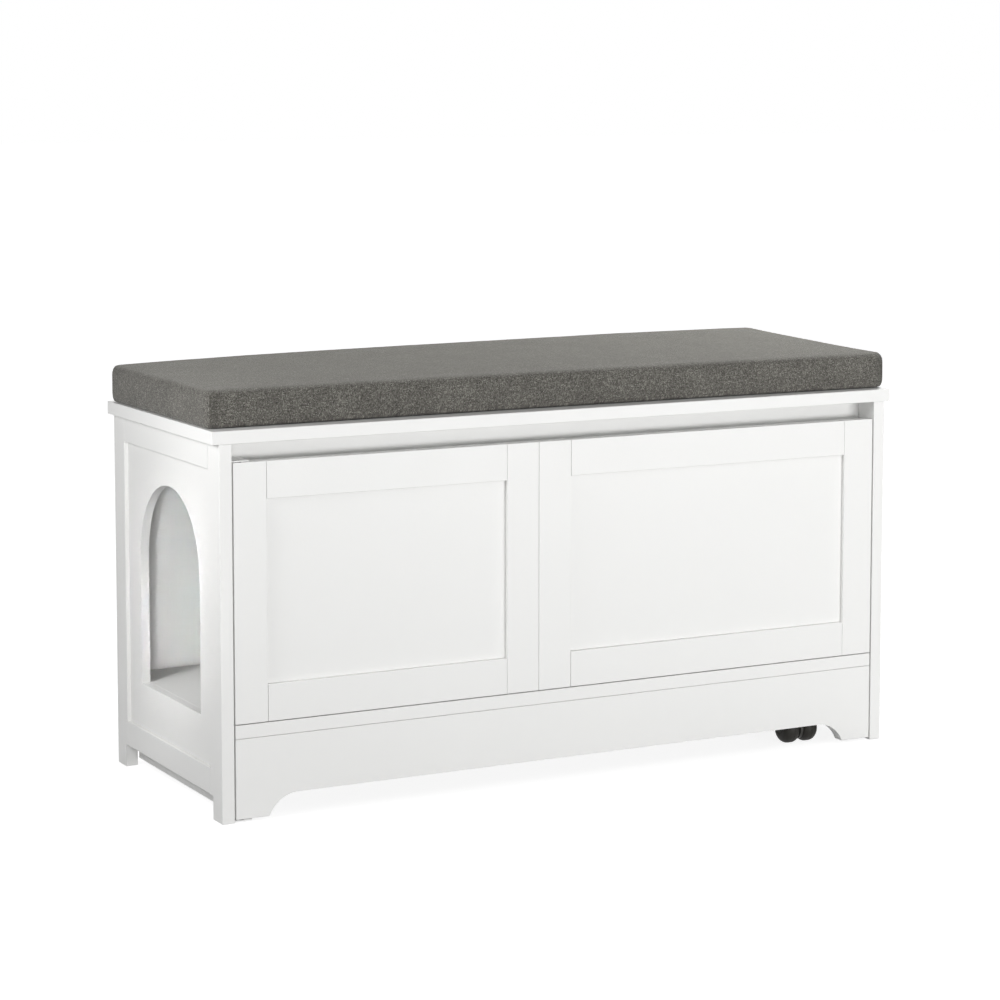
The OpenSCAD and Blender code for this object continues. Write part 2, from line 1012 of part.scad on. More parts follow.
module castor_plate() {
  color(steel)
    difference() {
      block([castor_x - plate_w / 2, castor_x + plate_w / 2],
            [swivel_y - plate_w / 2, swivel_y + plate_w / 2],
            [plate_z, castor_h]);
      castor_screw_set(fit);
      translate([castor_x, swivel_y, plate_z - past])
        cylinder(d = stem_d + 2 * fit, h = plate_t + 2 * past);
    }
}

module castor_screws() {
  color(steel)
    castor_screw_set();
}

// Frame at the middle of the axle, with Z along it
module at_axle() {
  translate([castor_x, swivel_y - trail, wheel_r])
    rotate([0, 90, 0])
      children();
}

// Hood and web between the wheels, with a boss for the stem
module castor_housing() {
  color(black)
    difference() {
      union() {
        intersection() {
          at_axle()
            cylinder(r = hood_r, h = hood_w, center = true, $fn = 96);
          translate([castor_x, swivel_y - trail, wheel_r + hood_lift + hood_r])
            cube([hood_w + past, 2 * hood_r + past, 2 * hood_r], center = true);
        }
        at_axle()
          cylinder(r = wheel_r - web_in, h = web_t, center = true, $fn = 96);
        translate([castor_x, swivel_y, wheel_r + hood_lift])
          cylinder(d = stem_d + 2 * boss_wall, h = plate_z - pivot_play - wheel_r - hood_lift);
      }
      for (side = [-1, 1])
        at_axle()
          translate([0, 0, side * (web_t + castor_w) / 2])
            cylinder(r = wheel_r + hood_gap, h = castor_w, center = true, $fn = 96);
      at_axle()
        cylinder(d = axle_d + 2 * fit, h = castor_w, center = true);
      translate([castor_x, swivel_y, stem_z - fit])
        cylinder(d = stem_d + 2 * fit, h = plate_z);
    }
}

module castor_stem() {
  color(steel)
    translate([castor_x, swivel_y, stem_z]) {
      cylinder(d = stem_d, h = castor_h + pivot_play + stem_head_h - stem_z);
      translate([0, 0, castor_h + pivot_play - stem_z])
        cylinder(d = stem_head_d, h = stem_head_h);
    }
}

module castor_axle() {
  color(steel)
    at_axle()
      cylinder(d = axle_d, h = axle_l, center = true);
}

// Section of a wheel: radius along X and width along Y, with a rounded tread
module wheel_section(w) {
  square([wheel_r - tread_outer, w]);
  translate([0, tread_inner])
    square([wheel_r, w - tread_inner - tread_outer]);
  square([wheel_r - tread_inner, w - tread_outer]);
  translate([wheel_r - tread_inner, tread_inner])
    circle(tread_inner);
  translate([wheel_r - tread_outer, w - tread_outer])
    circle(tread_outer);
}

// Right wheel, closed at its outer face and bored from its inner face
module wheel_shape() {
  start = web_t / 2 + wheel_gap;
  at_axle()
    difference() {
      translate([0, 0, start])
        rotate_extrude($fn = 96)
          intersection() {
            wheel_section(castor_w / 2 - start);
            square([2 * wheel_r, castor_w]);
          }
      translate([0, 0, start - past])
        cylinder(d = axle_d + 2 * fit, h = axle_l / 2 - start + past + 2 * fit);
    }
}

module right_wheel() {
  color(black)
    wheel_shape();
}

module left_wheel() {
  color(black)
    translate([castor_x, 0, 0])
      mirror([1, 0, 0])
        translate([-castor_x, 0, 0])
          wheel_shape();
}

// Outline of the cushion: points with the middle of their corner and the way they face
core_x = cushion_w / 2 - cushion_r;
core_y = cushion_d / 2 - cushion_r;

function side_points(a, b, facing, steps) = [
  for (n = [0:steps - 1]) [a + (b - a) * n / steps, facing]
];

function corner_points(at, start) = [
  for (n = [0:corner_steps - 1]) [at, [cos(start + 90 * n / corner_steps), sin(start + 90 * n / corner_steps)]]
];

outline = concat(
  side_points([-core_x, -core_y], [core_x, -core_y], [0, -1], long_steps),
  corner_points([core_x, -core_y], -90),
  side_points([core_x, -core_y], [core_x, core_y], [1, 0], short_steps),
  corner_points([core_x, core_y], 0),
  side_points([core_x, core_y], [-core_x, core_y], [0, 1], long_steps),
  corner_points([-core_x, core_y], 90),
  side_points([-core_x, core_y], [-core_x, -core_y], [-1, 0], short_steps),
  corner_points([-core_x, -core_y], 180)
);
ring_n = len(outline);

// Pull of a side at a point: none at the corners, most in the middle, half as much on the ends
function pull(p) = draw_in * abs(p[1][1]) * (1 - pow(p[0][0] / core_x, 2))
  + draw_in / 2 * abs(p[1][0]) * (1 - pow(p[0][1] / core_y, 2));

// Point of the outline moved in by a distance, then drawn to the middle by a share
function ring_point(p, inset, share) = (p[0] + p[1] * (cushion_r - inset - pull(p))) * (1 - share);

// Height of the crown over a point
function crown_at(q) = crown * (1 - pow(2 * q[0] / cushion_w, 4)) * (1 - pow(2 * q[1] / cushion_d, 2));

// Rings from the seat up: inset, height, share of the way to the middle
foot_rings = [[3, 0, 0], [0.9, 1, 0], [0, 3.5, 0], [-0.6, cushion_h / 2, 0], [0, cushion_h - roll_r, 0]];
roll_rings = [
  for (a = [30:30:90]) [roll_r * (1 - cos(a)), cushion_h - roll_r + roll_r * sin(a), 0]
];
top_rings = [for (share = [0.03, 0.1, 0.2, 0.34, 0.5, 0.66, 0.82, 0.93]) [roll_r, cushion_h, share]];
rings = concat(foot_rings, roll_rings, top_rings);

function ring_z(ring, q) = ring[1] + (ring[2] > 0 ? crown_at(q) : 0);

function cushion_points() = concat(
  [
    for (ring = rings, p = outline)
      let (q = ring_point(p, ring[0], ring[2]))
        [q[0] + cushion_x, q[1] + cushion_back, cushion_z + ring_z(ring, q)]
  ],
  [for (z = [0, cushion_h + crown]) [cushion_x, cushion_back, cushion_z + z]]
);

function cushion_faces() = concat(
  [
    for (k = [0:len(rings) - 2], n = [0:ring_n - 1], half = [0, 1])
      let (a = k * ring_n + n, b = k * ring_n + (n + 1) % ring_n)
        half == 0 ? [a, a + ring_n, b] : [b, a + ring_n, b + ring_n]
  ],
  [
    for (n = [0:ring_n - 1])
      [len(rings) * ring_n, n, (n + 1) % ring_n]
  ],
  [
    for (n = [0:ring_n - 1])
      let (a = (len(rings) - 1) * ring_n)
        [len(rings) * ring_n + 1, a + (n + 1) % ring_n, a + n]
  ]
);

module cushion() {
  color(cloth)
    polyhedron(cushion_points(), cushion_faces(), convexity = 4);
}

top_board();
left_front_stile();
left_rear_stile();
left_top_rail();
left_bottom_rail();
left_panel();
right_front_stile();
right_rear_stile();
right_top_rail();
right_bottom_rail();
right_panel();
back_panel();
front_top_rail();
rear_top_rail();
rear_bottom_rail();
bottom_board();
left_support_board();
right_support_board();
case_dowels();
cam_bolts();
cam_discs();
back_panel_screws();
support_screws();
top_pivot_bracket();
bottom_pivot_bracket();
pivot_pins();
bracket_screws();
catch_body();
catch_magnet();
catch_screws();
door_left_stile();
door_left_mid_stile();
door_right_mid_stile();
door_right_stile();
door_left_top_rail();
door_left_bottom_rail();
door_right_top_rail();
door_right_bottom_rail();
door_left_panel();
door_right_panel();
door_strip();
apron();
door_dowels();
pivot_bushes();
joining_plates();
joining_screws();
strike_plate();
castor_block();
castor_gusset();
castor_plate();
castor_screws();
castor_housing();
castor_stem();
castor_axle();
left_wheel();
right_wheel();
cushion();
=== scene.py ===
import json
import math

import bmesh
import bpy
import numpy as np
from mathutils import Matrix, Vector, noise


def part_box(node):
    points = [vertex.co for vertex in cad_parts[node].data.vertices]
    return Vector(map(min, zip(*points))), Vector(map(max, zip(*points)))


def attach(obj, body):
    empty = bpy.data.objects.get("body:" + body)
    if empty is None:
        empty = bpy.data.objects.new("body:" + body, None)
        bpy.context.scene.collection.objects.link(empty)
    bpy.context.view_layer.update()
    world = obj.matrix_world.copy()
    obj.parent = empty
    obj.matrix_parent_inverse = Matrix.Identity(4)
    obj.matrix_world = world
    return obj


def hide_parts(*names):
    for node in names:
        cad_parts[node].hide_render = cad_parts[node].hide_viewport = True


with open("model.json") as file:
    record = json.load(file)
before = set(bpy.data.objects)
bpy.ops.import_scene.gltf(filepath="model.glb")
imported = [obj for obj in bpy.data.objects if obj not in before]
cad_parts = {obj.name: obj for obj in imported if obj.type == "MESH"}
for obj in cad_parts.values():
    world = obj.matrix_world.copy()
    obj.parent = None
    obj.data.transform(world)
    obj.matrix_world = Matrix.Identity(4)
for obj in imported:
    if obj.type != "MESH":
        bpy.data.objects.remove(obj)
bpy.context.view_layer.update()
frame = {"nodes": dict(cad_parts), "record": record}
cadNodes = frame["nodes"]
bodyOf = {}
for bodyName, members in frame["record"]["behaviour"]["bodies"].items():
    for member in members:
        bodyOf[member] = bodyName
slotOf = {row["node"]: row["material_slot"] for row in frame["record"]["subparts"]}
print("frame loaded:", len(cadNodes), "nodes")


# selecting and finishing

def makeActive(piece):
    for item in list(bpy.context.selected_objects):
        item.select_set(False)
    piece.select_set(True)
    bpy.context.view_layer.objects.active = piece


def selectEdges(piece, wanted):
    # in edit mode: selects the edges for which wanted(end, otherEnd) is true, and nothing else
    bpy.ops.mesh.select_mode(type="EDGE")
    mesh = bmesh.from_edit_mesh(piece.data)
    for edge in mesh.edges:
        edge.select_set(False)
    for edge in mesh.edges:
        if wanted(edge.verts[0].co, edge.verts[1].co):
            edge.select_set(True)
    bmesh.update_edit_mesh(piece.data)


def applyModifiers(piece):
    makeActive(piece)
    for modifier in list(piece.modifiers):
        bpy.ops.object.modifier_apply(modifier=modifier.name)


def placeInMesh(piece):
    makeActive(piece)
    bpy.ops.object.transform_apply(location=True, rotation=True, scale=True)


def camelName(nodeName):
    words = nodeName.split("_")
    return words[0] + "".join(word.capitalize() for word in words[1:])


def finishPiece(piece, nodeName, material):
    # the piece takes the body and the slot of the node that it stands for
    piece.data.materials.clear()
    piece.data.materials.append(material)
    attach(piece, bodyOf[nodeName])
    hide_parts(nodeName)


# nodes of materials

mixSockets = {
    # kind: first input, second input and result of a Mix node
    "FLOAT": (2, 3, 0),
    "RGBA": (6, 7, 2),
}


def newNode(tree, kind, **settings):
    made = tree.nodes.new(kind)
    for key, value in settings.items():
        setattr(made, key, value)
    return made


def feed(tree, socket, value):
    # a socket takes another socket or a plain value
    if isinstance(value, bpy.types.NodeSocket):
        tree.links.new(value, socket)
    else:
        socket.default_value = value


def calc(tree, operation, first, second=0.0, third=None):
    made = newNode(tree, "ShaderNodeMath", operation=operation)
    feed(tree, made.inputs[0], first)
    feed(tree, made.inputs[1], second)
    if third is not None:
        feed(tree, made.inputs[2], third)
    return made.outputs[0]


def plus(tree, first, second):
    return calc(tree, "ADD", first, second)


def minus(tree, first, second):
    return calc(tree, "SUBTRACT", first, second)


def times(tree, first, second):
    return calc(tree, "MULTIPLY", first, second)


def swing(tree, value, amount):
    # noise of 0 to 1 taken round its middle, times an amount
    return times(tree, minus(tree, value, 0.5), amount)


def blend(tree, first, second, share):
    # share of the first, and the rest of the second
    return plus(tree, times(tree, first, share), times(tree, second, 1 - share))


def remap(tree, value, low, high, newLow, newHigh):
    made = newNode(tree, "ShaderNodeMapRange")
    for place, number in enumerate((value, low, high, newLow, newHigh)):
        feed(tree, made.inputs[place], number)
    return made.outputs[0]


def mixed(tree, kind, share, first, second):
    firstSocket, secondSocket, resultSocket = mixSockets[kind]
    made = newNode(tree, "ShaderNodeMix", data_type=kind)
    feed(tree, made.inputs[0], share)
    feed(tree, made.inputs[firstSocket], first)
    feed(tree, made.inputs[secondSocket], second)
    return made.outputs[resultSocket]


def noiseAt(tree, vector, scale, detail=2.0, roughness=0.5):
    made = newNode(tree, "ShaderNodeTexNoise")
    feed(tree, made.inputs["Vector"], vector)
    feed(tree, made.inputs["Scale"], scale)
    feed(tree, made.inputs["Detail"], detail)
    feed(tree, made.inputs["Roughness"], roughness)
    return made.outputs["Fac"]


def vectorOf(tree, x, y, z=0.0):
    made = newNode(tree, "ShaderNodeCombineXYZ")
    for place, value in enumerate((x, y, z)):
        feed(tree, made.inputs[place], value)
    return made.outputs[0]


def partsOf(tree, vector):
    split = newNode(tree, "ShaderNodeSeparateXYZ")
    feed(tree, split.inputs[0], vector)
    return split.outputs


def stretched(tree, vector, scale):
    made = newNode(tree, "ShaderNodeMapping")
    feed(tree, made.inputs["Vector"], vector)
    made.inputs["Scale"].default_value = scale
    return made.outputs[0]


def bumped(tree, height, depth, under=None):
    # normal of a relief of this depth in metres, over the normal of a coarser relief
    bump = newNode(tree, "ShaderNodeBump")
    bump.inputs["Distance"].default_value = depth
    feed(tree, bump.inputs["Height"], height)
    if under is not None:
        feed(tree, bump.inputs["Normal"], under)
    return bump.outputs[0]


def newGroup(name, inputs, outputs):
    tree = bpy.data.node_groups.new(name, "ShaderNodeTree")
    for label, kind, value in inputs:
        socket = tree.interface.new_socket(name=label, in_out="INPUT", socket_type="NodeSocket" + kind)
        if value is not None:
            socket.default_value = value
    for label, kind in outputs:
        tree.interface.new_socket(name=label, in_out="OUTPUT", socket_type="NodeSocket" + kind)
    return tree, tree.nodes.new("NodeGroupInput").outputs, tree.nodes.new("NodeGroupOutput").inputs


coat = {
    "slowScale": 2.3,
    "slowDetail": 3.0,
    "cloudScale": 21.0,
    "cloudDetail": 4.0,
    "cloudRough": 0.6,
    "slowShare": 0.65,
    "toneGain": 4.0,
    "peelDetail": 2.0,
    "peelRough": 0.45,
    "dustScale": 0.23,
    "dustDetail": 1.0,
    "dustHeight": 0.8,
}


def coatGroup():
    # sprayed or moulded surface: slow tone changes, fine peel, and roughness that wanders
    tree, given, result = newGroup(
        "coatFinish",
        [("Vector", "Vector", None), ("Colour", "Color", (0.8, 0.8, 0.8, 1)), ("Tone Change", "Float", 0.03),
         ("Peel Scale", "Float", 700.0), ("Rough", "Float", 0.4), ("Rough Change", "Float", 0.1)],
        [("Colour", "Color"), ("Roughness", "Float"), ("Height", "Float")])
    slow = noiseAt(tree, given["Vector"], coat["slowScale"], coat["slowDetail"])
    cloudy = noiseAt(tree, given["Vector"], coat["cloudScale"], coat["cloudDetail"], coat["cloudRough"])
    drift = blend(tree, slow, cloudy, coat["slowShare"])
    change = swing(tree, drift, times(tree, given["Tone Change"], coat["toneGain"]))
    darker = newNode(tree, "ShaderNodeHueSaturation")
    feed(tree, darker.inputs["Color"], given["Colour"])
    feed(tree, darker.inputs["Value"], plus(tree, change, 1.0))
    feed(tree, result["Colour"], darker.outputs[0])
    feed(tree, result["Roughness"], plus(tree, given["Rough"], swing(tree, cloudy, given["Rough Change"])))
    dustScale = times(tree, given["Peel Scale"], coat["dustScale"])
    peel = noiseAt(tree, given["Vector"], given["Peel Scale"], coat["peelDetail"], coat["peelRough"])
    dust = noiseAt(tree, given["Vector"], dustScale, coat["dustDetail"])
    feed(tree, result["Height"], plus(tree, peel, times(tree, dust, coat["dustHeight"])))
    return tree


plating = {
    "lineStretch": (1.0, 1.0, 0.06),
    "lineDepth": 0.00002,
    "patchScale": 260.0,
    "patchShare": 0.5,
    "roughChange": 0.22,
}


def scratchGroup():
    # rolled sheet and turned steel: fine lines along one direction, with a blotchy plated coat
    tree, given, result = newGroup(
        "platedMetal",
        [("Vector", "Vector", None), ("Bright", "Color", (0.6, 0.6, 0.6, 1)),
         ("Dull", "Color", (0.4, 0.4, 0.4, 1)), ("Line Scale", "Float", 900.0), ("Rough", "Float", 0.3)],
        [("Colour", "Color"), ("Roughness", "Float"), ("Height", "Float")])
    lines = noiseAt(tree, stretched(tree, given["Vector"], plating["lineStretch"]), given["Line Scale"])
    blotch = newNode(tree, "ShaderNodeTexVoronoi")
    feed(tree, blotch.inputs["Vector"], given["Vector"])
    blotch.inputs["Scale"].default_value = plating["patchScale"]
    share = newNode(tree, "ShaderNodeSeparateColor")
    feed(tree, share.inputs[0], blotch.outputs["Color"])
    patch = blend(tree, share.outputs[0], lines, plating["patchShare"])
    feed(tree, result["Colour"], mixed(tree, "RGBA", patch, given["Dull"], given["Bright"]))
    feed(tree, result["Roughness"], plus(tree, given["Rough"], swing(tree, patch, plating["roughChange"])))
    feed(tree, result["Height"], lines)
    return tree


weave = {
    "weftRise": 0.5,
    "warpRise": 0.4,
    "weftRun": 0.11,
    "weftStep": 3.71,
    "warpRun": 0.2,
    "warpStep": 3.37,
    "warpOffset": 9.0,
    "yarnWeight": 1.5,
    "speckWeight": 0.75,
    "cloudScale": 16.0,
    "cloudDetail": 3.0,
    "cloudWeight": 0.35,
    "paleFrom": 0.08,
    "paleFull": 0.62,
    "darkFrom": -0.05,
    "darkFull": -0.55,
    "dipDepth": 0.55,
    "dipShade": 0.6,
}


def yarnRound(tree, place):
    # rounded height across each yarn, 0 at its sides and 1 on its back
    return calc(tree, "SINE", times(tree, calc(tree, "FRACT", place), math.pi))


def weaveGroup():
    # plain weave: rounded yarns over and under each other, each with its own tone
    tree, given, result = newGroup(
        "slubWeave",
        [("Vector", "Vector", None), ("Pitch", "Float", 0.001), ("Dark", "Color", (0.05, 0.05, 0.05, 1)),
         ("Middle", "Color", (0.15, 0.15, 0.15, 1)), ("Light", "Color", (0.4, 0.4, 0.4, 1))],
        [("Colour", "Color"), ("Height", "Float")])
    parts = partsOf(tree, given["Vector"])
    along = calc(tree, "DIVIDE", parts[0], given["Pitch"])
    across = calc(tree, "DIVIDE", parts[1], given["Pitch"])
    warpNumber = calc(tree, "FLOOR", along)
    weftNumber = calc(tree, "FLOOR", across)
    weftOver = calc(tree, "FLOORED_MODULO", plus(tree, warpNumber, weftNumber), 2.0)
    warpRound = yarnRound(tree, along)
    weftRound = yarnRound(tree, across)
    weftLift = calc(tree, "MULTIPLY_ADD", warpRound, weave["weftRise"], weave["weftRise"])
    warpLift = calc(tree, "MULTIPLY_ADD", weftRound, weave["warpRise"], weave["warpRise"])
    high = mixed(tree, "FLOAT", weftOver, times(tree, warpRound, warpLift), times(tree, weftRound, weftLift))
    # each yarn changes slowly along itself, and at once from yarn to yarn
    weftPlace = vectorOf(tree, times(tree, along, weave["weftRun"]),
                         times(tree, weftNumber, weave["weftStep"]))
    warpPlace = vectorOf(tree, times(tree, warpNumber, weave["warpStep"]),
                         times(tree, across, weave["warpRun"]), weave["warpOffset"])
    tone = mixed(tree, "FLOAT", weftOver, noiseAt(tree, warpPlace, 1.0), noiseAt(tree, weftPlace, 1.0))
    speck = newNode(tree, "ShaderNodeTexWhiteNoise", noise_dimensions="2D")
    feed(tree, speck.inputs["Vector"], vectorOf(tree, warpNumber, weftNumber))
    cloud = noiseAt(tree, given["Vector"], weave["cloudScale"], weave["cloudDetail"])
    level = plus(tree, swing(tree, tone, weave["yarnWeight"]),
                 swing(tree, speck.outputs["Value"], weave["speckWeight"]))
    level = plus(tree, level, swing(tree, cloud, weave["cloudWeight"]))
    paleShare = remap(tree, level, weave["paleFrom"], weave["paleFull"], 0.0, 1.0)
    darkShare = remap(tree, level, weave["darkFrom"], weave["darkFull"], 0.0, 1.0)
    yarn = mixed(tree, "RGBA", paleShare, given["Middle"], given["Light"])
    yarn = mixed(tree, "RGBA", darkShare, yarn, given["Dark"])
    # painted shade: yarns are darker where they dip under a neighbour
    dipShadeShare = remap(tree, high, 0.0, weave["dipDepth"], weave["dipShade"], 0.0)
    feed(tree, result["Colour"], mixed(tree, "RGBA", dipShadeShare, yarn, given["Dark"]))
    feed(tree, result["Height"], high)
    return tree


coatFinish = coatGroup()
platedMetal = scratchGroup()


def emptyMaterial(name):
    material = bpy.data.materials.new(name)
    material.use_nodes = True
    tree = material.node_tree
    where = newNode(tree, "ShaderNodeTexCoord")
    return material, tree, tree.nodes["Principled BSDF"], where.outputs["Object"]


def coatMaterial(name, colour, toneChange, peelScale, peelDepth, rough, roughChange, shine):
    material, tree, shader, place = emptyMaterial(name)
    finish = newNode(tree, "ShaderNodeGroup", node_tree=coatFinish)
    feed(tree, finish.inputs["Vector"], place)
    finish.inputs["Colour"].default_value = (*colour, 1)
    finish.inputs["Tone Change"].default_value = toneChange
    finish.inputs["Peel Scale"].default_value = peelScale
    finish.inputs["Rough"].default_value = rough
    finish.inputs["Rough Change"].default_value = roughChange
    feed(tree, shader.inputs["Base Color"], finish.outputs["Colour"])
    feed(tree, shader.inputs["Roughness"], finish.outputs["Roughness"])
    feed(tree, shader.inputs["Normal"], bumped(tree, finish.outputs["Height"], peelDepth))
    shader.inputs["Specular IOR Level"].default_value = shine
    return material


def metalMaterial(name, bright, dull, lineScale, rough):
    material, tree, shader, place = emptyMaterial(name)
    finish = newNode(tree, "ShaderNodeGroup", node_tree=platedMetal)
    feed(tree, finish.inputs["Vector"], place)
    finish.inputs["Bright"].default_value = (*bright, 1)
    finish.inputs["Dull"].default_value = (*dull, 1)
    finish.inputs["Line Scale"].default_value = lineScale
    finish.inputs["Rough"].default_value = rough
    shader.inputs["Metallic"].default_value = 1.0
    feed(tree, shader.inputs["Base Color"], finish.outputs["Colour"])
    feed(tree, shader.inputs["Roughness"], finish.outputs["Roughness"])
    feed(tree, shader.inputs["Normal"], bumped(tree, finish.outputs["Height"], plating["lineDepth"]))
    return material


wood = {
    "pale": (0.66, 0.47, 0.29),
    "deep": (0.44, 0.27, 0.14),
    "grainStretch": (0.12, 0.12, 1.0),
    "grainScale": 500.0,
    "grainDetail": 4.0,
    "grainRough": 0.65,
    "grainDepth": 0.00006,
    "grainShare": 0.7,
    "fleckStretch": (0.3, 0.3, 1.0),
    "fleckScale": 1500.0,
    "fleckDetail": 1.0,
    "toneLow": 0.35,
    "toneHigh": 0.65,
    "roughLow": 0.3,
    "roughHigh": 0.7,
    "roughDeep": 0.72,
    "roughPale": 0.58,
}


def woodMaterial(name):
    # turned beech: short dark flecks on a straight grain
    material, tree, shader, place = emptyMaterial(name)
    grain = noiseAt(tree, stretched(tree, place, wood["grainStretch"]),
                    wood["grainScale"], wood["grainDetail"], wood["grainRough"])
    fleck = noiseAt(tree, stretched(tree, place, wood["fleckStretch"]),
                    wood["fleckScale"], wood["fleckDetail"])
    tone = blend(tree, grain, fleck, wood["grainShare"])
    paleShare = remap(tree, tone, wood["toneLow"], wood["toneHigh"], 0.0, 1.0)
    rough = remap(tree, tone, wood["roughLow"], wood["roughHigh"], wood["roughDeep"], wood["roughPale"])
    colour = mixed(tree, "RGBA", paleShare, (*wood["deep"], 1), (*wood["pale"], 1))
    feed(tree, shader.inputs["Base Color"], colour)
    feed(tree, shader.inputs["Roughness"], rough)
    feed(tree, shader.inputs["Normal"], bumped(tree, grain, wood["grainDepth"]))
    return material


# camera and light

view = {
    # metres, degrees and millimetres of lens
    "place": (-1.83371, -3.46188, 0.94741),
    "turn": 27.797,
    "down": 5.664,
    "lens": 103.32,
    "sensor": 36.0,
    "shift": -0.15,
}
light = {
    "world": 0.08,
    "floor": (0.40, 0.40, 0.40),
    "floorSize": 60.0,
    "floorDrop": 0.0003,
    "liftNear": 0.86,
    "liftFar": 1.0,
    "liftStart": 0.9,
    "liftEnd": 2.6,
}
lamps = {
    # name: place, aim, width, height, power and the spread of its light in degrees
    "cameraSideLamp": ((-1.7, -3.1, 0.55), (0.0, 0.0, 0.3), 1.2, 0.9, 27.0, 180.0),
    "leftHighLamp": ((-2.4, -1.0, 1.6), (-0.3, 0.0, 0.3), 1.2, 1.2, 14.5, 180.0),
    "rightNearLamp": ((0.95, -1.25, 1.15), (0.45, -0.18, 0.42), 0.7, 0.7, 5.0, 180.0),
    "rightLowLamp": ((1.0, -2.6, 0.30), (0.2, -0.15, 0.45), 1.4, 0.5, 29.0, 180.0),
    "rearRightLamp": ((1.5, 0.7, 1.9), (0.2, 0.0, 0.5), 1.0, 1.0, 35.0, 180.0),
    "rearLamp": ((0.2, 1.6, 1.9), (0.0, 0.0, 0.5), 1.6, 1.2, 8.0, 180.0),
    "doorwayLamp": ((-1.05, -1.06, 0.35), (-0.49, 0.0, 0.26), 0.10, 0.30, 0.042, 6.5),
    "leftSmallLamp": ((-1.0, -0.24, 0.66), (-0.5, -0.14, 0.44), 0.25, 0.25, 2.2, 180.0),
}
doorwaySpot = {
    # narrow beam through the doorway on to the inner floor
    "place": (-1.1, -0.35, 1.05),
    "aim": (-0.41, 0.03, 0.125),
    "power": 20.0,
    "cone": 15.0,
    "size": 0.06,
}


def addCamera():
    tilt = math.radians(90 - view["down"])
    bpy.ops.object.camera_add(location=view["place"], rotation=(tilt, 0, -math.radians(view["turn"])))
    camera = bpy.context.object
    camera.name = "viewCamera"
    camera.data.sensor_width = view["sensor"]
    camera.data.lens = view["lens"]
    camera.data.shift_y = view["shift"]
    bpy.context.scene.camera = camera


def aimedLamp(kind, name, place, aim, power):
    bpy.ops.object.light_add(type=kind, location=place)
    lamp = bpy.context.object
    lamp.name = name
    lamp.rotation_euler = (Vector(aim) - Vector(place)).to_track_quat("-Z", "Y").to_euler()
    lamp.data.energy = power
    return lamp


def addLamp(name, place, aim, width, height, power, spread):
    lamp = aimedLamp("AREA", name, place, aim, power)
    lamp.data.shape = "ELLIPSE"
    lamp.data.size = width
    lamp.data.size_y = height
    lamp.data.spread = math.radians(spread)


def addSpot(name, settings):
    lamp = aimedLamp("SPOT", name, settings["place"], settings["aim"], settings["power"])
    lamp.data.spot_size = math.radians(settings["cone"])
    lamp.data.spot_blend = 1.0
    lamp.data.shadow_soft_size = settings["size"]


def seenDirectly(tree):
    # 1 for the camera, and for what metal and glass show of the background
    rays = newNode(tree, "ShaderNodeLightPath")
    seen = calc(tree, "MAXIMUM", rays.outputs["Is Camera Ray"], rays.outputs["Is Glossy Ray"])
    return calc(tree, "MAXIMUM", seen, rays.outputs["Is Transmission Ray"])


def setWorld():
    world = bpy.data.worlds.new("paleStudio")
    world.use_nodes = True
    bpy.context.scene.world = world
    tree = world.node_tree
    sky = tree.nodes["Background"]
    sky.inputs["Color"].default_value = (1, 1, 1, 1)
    feed(tree, sky.inputs["Strength"], remap(tree, seenDirectly(tree), 0.0, 1.0, light["world"], 1.0))


def addFloor():
    # grey floor that looks white, a little below white near the object
    bpy.ops.mesh.primitive_plane_add(size=light["floorSize"], location=(0, 0, -light["floorDrop"]))
    floor = bpy.context.object
    floor.name = "studioFloor"
    material, tree, shader, place = emptyMaterial("paleFloor")
    shader.inputs["Base Color"].default_value = (*light["floor"], 1)
    shader.inputs["Roughness"].default_value = 1.0
    shader.inputs["Specular IOR Level"].default_value = 0.0
    shader.inputs["Emission Color"].default_value = (1, 1, 1, 1)
    away = newNode(tree, "ShaderNodeVectorMath", operation="LENGTH")
    feed(tree, away.inputs[0], place)
    lift = remap(tree, away.outputs["Value"], light["liftStart"], light["liftEnd"],
                 light["liftNear"], light["liftFar"])
    feed(tree, shader.inputs["Emission Strength"], times(tree, seenDirectly(tree), lift))
    floor.data.materials.append(material)


bpy.context.scene.view_settings.view_transform = "Standard"
addCamera()
setWorld()
for lampName, values in lamps.items():
    addLamp(lampName, *values)
addSpot("doorwaySpot", doorwaySpot)
addFloor()
print("camera, light and floor set")

# materials

coats = {
    # slot: name, colour, tone change, peel scale, peel depth, roughness, roughness change, shine
    "white_paint": ("whitePaint", (0.835, 0.835, 0.822), 0.012, 620.0, 0.00006, 0.42, 0.10, 0.5),
    "white_plastic": ("whitePlastic", (0.80, 0.80, 0.78), 0.02, 1500.0, 0.00003, 0.35, 0.08, 0.5),
    "black_plastic": ("blackPlastic", (0.022, 0.022, 0.023), 0.10, 1800.0, 0.00005, 0.42, 0.12, 0.5),
    "castor_plastic": ("castorPlastic", (0.021, 0.020, 0.017), 0.10, 1400.0, 0.00008, 0.46, 0.16, 0.35),
    "wheel_tread": ("wheelPlastic", (0.016, 0.015, 0.012), 0.12, 900.0, 0.00008, 0.52, 0.20, 0.25),
    "white_steel": ("whiteCoatedSteel", (0.80, 0.80, 0.79), 0.01, 1500.0, 0.00004, 0.40, 0.10, 0.5),
    "black_steel": ("blackCoatedSteel", (0.026, 0.026, 0.028), 0.08, 1300.0, 0.00005, 0.38, 0.12, 0.5),
    "dark_magnet": ("bareFerrite", (0.055, 0.052, 0.050), 0.20, 2200.0, 0.00006, 0.62, 0.20, 0.5),
}
metals = {
    # slot: name, bright colour, dull colour, line scale, roughness
    "bright_steel": ("platedSteel", (0.66, 0.66, 0.68), (0.48, 0.48, 0.49), 1600.0, 0.28),
    "zinc": ("galvanisedSheet", (0.58, 0.59, 0.61), (0.40, 0.41, 0.43), 700.0, 0.40),
}
finishes = {slotName: coatMaterial(*values) for slotName, values in coats.items()}
